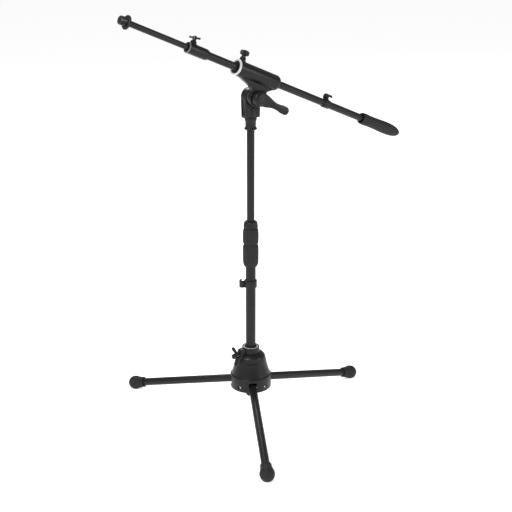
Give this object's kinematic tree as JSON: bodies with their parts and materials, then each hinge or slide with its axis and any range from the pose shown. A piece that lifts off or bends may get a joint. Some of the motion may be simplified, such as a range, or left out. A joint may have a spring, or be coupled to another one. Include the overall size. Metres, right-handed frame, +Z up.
{
  "type": "boom microphone stand",
  "caption": "Low boom microphone stand: a bell base with folding legs, a telescopic pole with a twist grip, and a tilting telescopic boom with a threaded tip.",
  "frame": {"origin": "on the floor, under the middle of the stand's bounding box; the pole stands at x = -0.0452 m, y = 0", "axes": "+Z up along the pole, -X towards the boom's tip, +Y across the boom, away from the lever"},
  "size_m": [0.6658, 0.5108, 0.8332],
  "materials": {
    "powder_coat": "black powder coat on steel tube",
    "casting": "satin black paint on die casting",
    "rubber": "matt black rubber",
    "plastic": "black moulded plastic",
    "pale_plastic": "pale grey moulded plastic",
    "steel": "zinc plated steel",
    "black_steel": "blackened steel",
    "fibre": "friction fibre"
  },
  "bodies": {
    "base": {"base_casting": "casting", "base_collar_ring": "pale_plastic", "leg_stop_plate": "steel", "plate_screw_1": "steel", "plate_screw_2": "steel", "plate_screw_3": "steel", "leg_right_pin": "steel", "leg_left_pin": "steel", "leg_front_pin": "steel"},
    "leg_right": {"leg_right_tube": "powder_coat", "leg_right_plug": "plastic", "leg_right_foot": "rubber"},
    "leg_left": {"leg_left_tube": "powder_coat", "leg_left_plug": "plastic", "leg_left_foot": "rubber"},
    "leg_front": {"leg_front_tube": "powder_coat", "leg_front_plug": "plastic", "leg_front_foot": "rubber"},
    "wing_screw": {"wing_screw_head": "plastic", "wing_screw_shaft": "steel"},
    "base_bush": {"base_bush": "plastic"},
    "lower_pole": {"pole_lower_tube": "powder_coat", "pole_end_plug": "plastic", "grip_insert": "plastic"},
    "pole_clip": {"pole_cable_clip": "plastic"},
    "twist_grip": {"twist_grip": "rubber", "grip_collar": "plastic"},
    "collet": {"pole_collet": "plastic"},
    "upper_pole": {"pole_upper_tube": "powder_coat", "pole_guide_bush": "plastic", "neck_collar": "plastic", "clutch_lower_body": "casting", "clutch_bolt": "steel", "clutch_nut": "steel", "friction_washer": "fibre", "spring_washer": "steel"},
    "lever": {"clutch_lever": "casting", "lever_cap": "plastic"},
    "boom_holder": {"boom_holder": "casting", "clamp_ring": "pale_plastic"},
    "clamp_knob": {"clamp_knob": "plastic", "clamp_knob_screw": "steel"},
    "clamp_bush": {"clamp_bush": "plastic"},
    "boom": {"boom_outer_tube": "powder_coat", "boom_end_grip": "rubber", "sleeve_body": "casting", "sleeve_ring": "plastic", "sleeve_bush": "plastic"},
    "boom_clip": {"boom_cable_clip": "plastic"},
    "t_screw": {"t_screw_stem": "black_steel", "t_screw_bar": "black_steel"},
    "inner_boom": {"boom_inner_tube": "powder_coat", "inner_tube_guide": "plastic", "mic_thread_stud": "black_steel"},
    "lock_nut": {"mic_lock_nut": "plastic"}
  },
  "joints": [
    {"name": "leg_right_fold", "type": "hinge", "parent": "base", "child": "leg_right", "pos_m": [-0.01322, 0, 0.0721], "axis": [0, 1, 0], "range_deg": [0, 74]},
    {"name": "leg_left_fold", "type": "hinge", "parent": "base", "child": "leg_left", "pos_m": [-0.06122, 0.02771, 0.0721], "axis": [-0.866, -0.5, 0], "range_deg": [0, 74]},
    {"name": "leg_front_fold", "type": "hinge", "parent": "base", "child": "leg_front", "pos_m": [-0.06122, -0.02771, 0.0721], "axis": [0.866, -0.5, 0], "range_deg": [0, 74]},
    {"name": "wing_screw_turn", "type": "hinge", "parent": "base", "child": "wing_screw", "pos_m": [-0.04522, 0, 0.137], "axis": [-1, 0, 0], "continuous": true},
    {"name": "pole_turn", "type": "hinge", "parent": "base", "child": "base_bush", "pos_m": [-0.04522, 0, 0.12], "axis": [0, 0, 1], "continuous": true},
    {"name": "pole_slide", "type": "slide", "parent": "base_bush", "child": "lower_pole", "axis": [0, 0, 1], "range_m": [-0.035, 0.06]},
    {"name": "pole_clip_slide", "type": "slide", "parent": "lower_pole", "child": "pole_clip", "axis": [0, 0, 1], "range_m": [-0.08, 0.025]},
    {"name": "grip_twist", "type": "hinge", "parent": "lower_pole", "child": "twist_grip", "pos_m": [-0.04522, 0, 0.36], "axis": [0, 0, 1], "range_deg": [0, 180]},
    {"name": "pole_swivel", "type": "hinge", "parent": "lower_pole", "child": "collet", "pos_m": [-0.04522, 0, 0.375], "axis": [0, 0, 1], "continuous": true},
    {"name": "height_slide", "type": "slide", "parent": "collet", "child": "upper_pole", "axis": [0, 0, 1], "range_m": [-0.175, 0.02]},
    {"name": "boom_tilt", "type": "hinge", "parent": "upper_pole", "child": "boom_holder", "pos_m": [-0.04522, 0, 0.665], "axis": [0, 1, 0], "range_deg": [-110, 65]},
    {"name": "lever_turn", "type": "hinge", "parent": "upper_pole", "child": "lever", "pos_m": [-0.04522, 0, 0.665], "axis": [0, 1, 0], "range_deg": [-60, 60]},
    {"name": "clamp_knob_turn", "type": "hinge", "parent": "boom_holder", "child": "clamp_knob", "pos_m": [-0.08239, -0.01667, 0.72272], "axis": [0.3843, 0, 0.9232], "continuous": true},
    {"name": "boom_roll", "type": "hinge", "parent": "boom_holder", "child": "clamp_bush", "pos_m": [-0.03023, -0.01667, 0.701], "axis": [-0.9232, 0, 0.3843], "continuous": true},
    {"name": "boom_slide", "type": "slide", "parent": "clamp_bush", "child": "boom", "axis": [-0.9232, 0, 0.3843], "range_m": [-0.06, 0.115]},
    {"name": "boom_clip_slide", "type": "slide", "parent": "boom", "child": "boom_clip", "axis": [-0.9232, 0, 0.3843], "range_m": [-0.08, 0]},
    {"name": "t_screw_turn", "type": "hinge", "parent": "boom", "child": "t_screw", "pos_m": [-0.18782, -0.01667, 0.7666], "axis": [0.3843, 0, 0.9232], "continuous": true},
    {"name": "inner_boom_slide", "type": "slide", "parent": "boom", "child": "inner_boom", "axis": [-0.9232, 0, 0.3843], "range_m": [-0.112, 0.05]},
    {"name": "lock_nut_spin", "type": "hinge", "parent": "inner_boom", "child": "lock_nut", "pos_m": [-0.31689, -0.01667, 0.82033], "axis": [-0.9232, 0, 0.3843], "continuous": true}
  ]
}
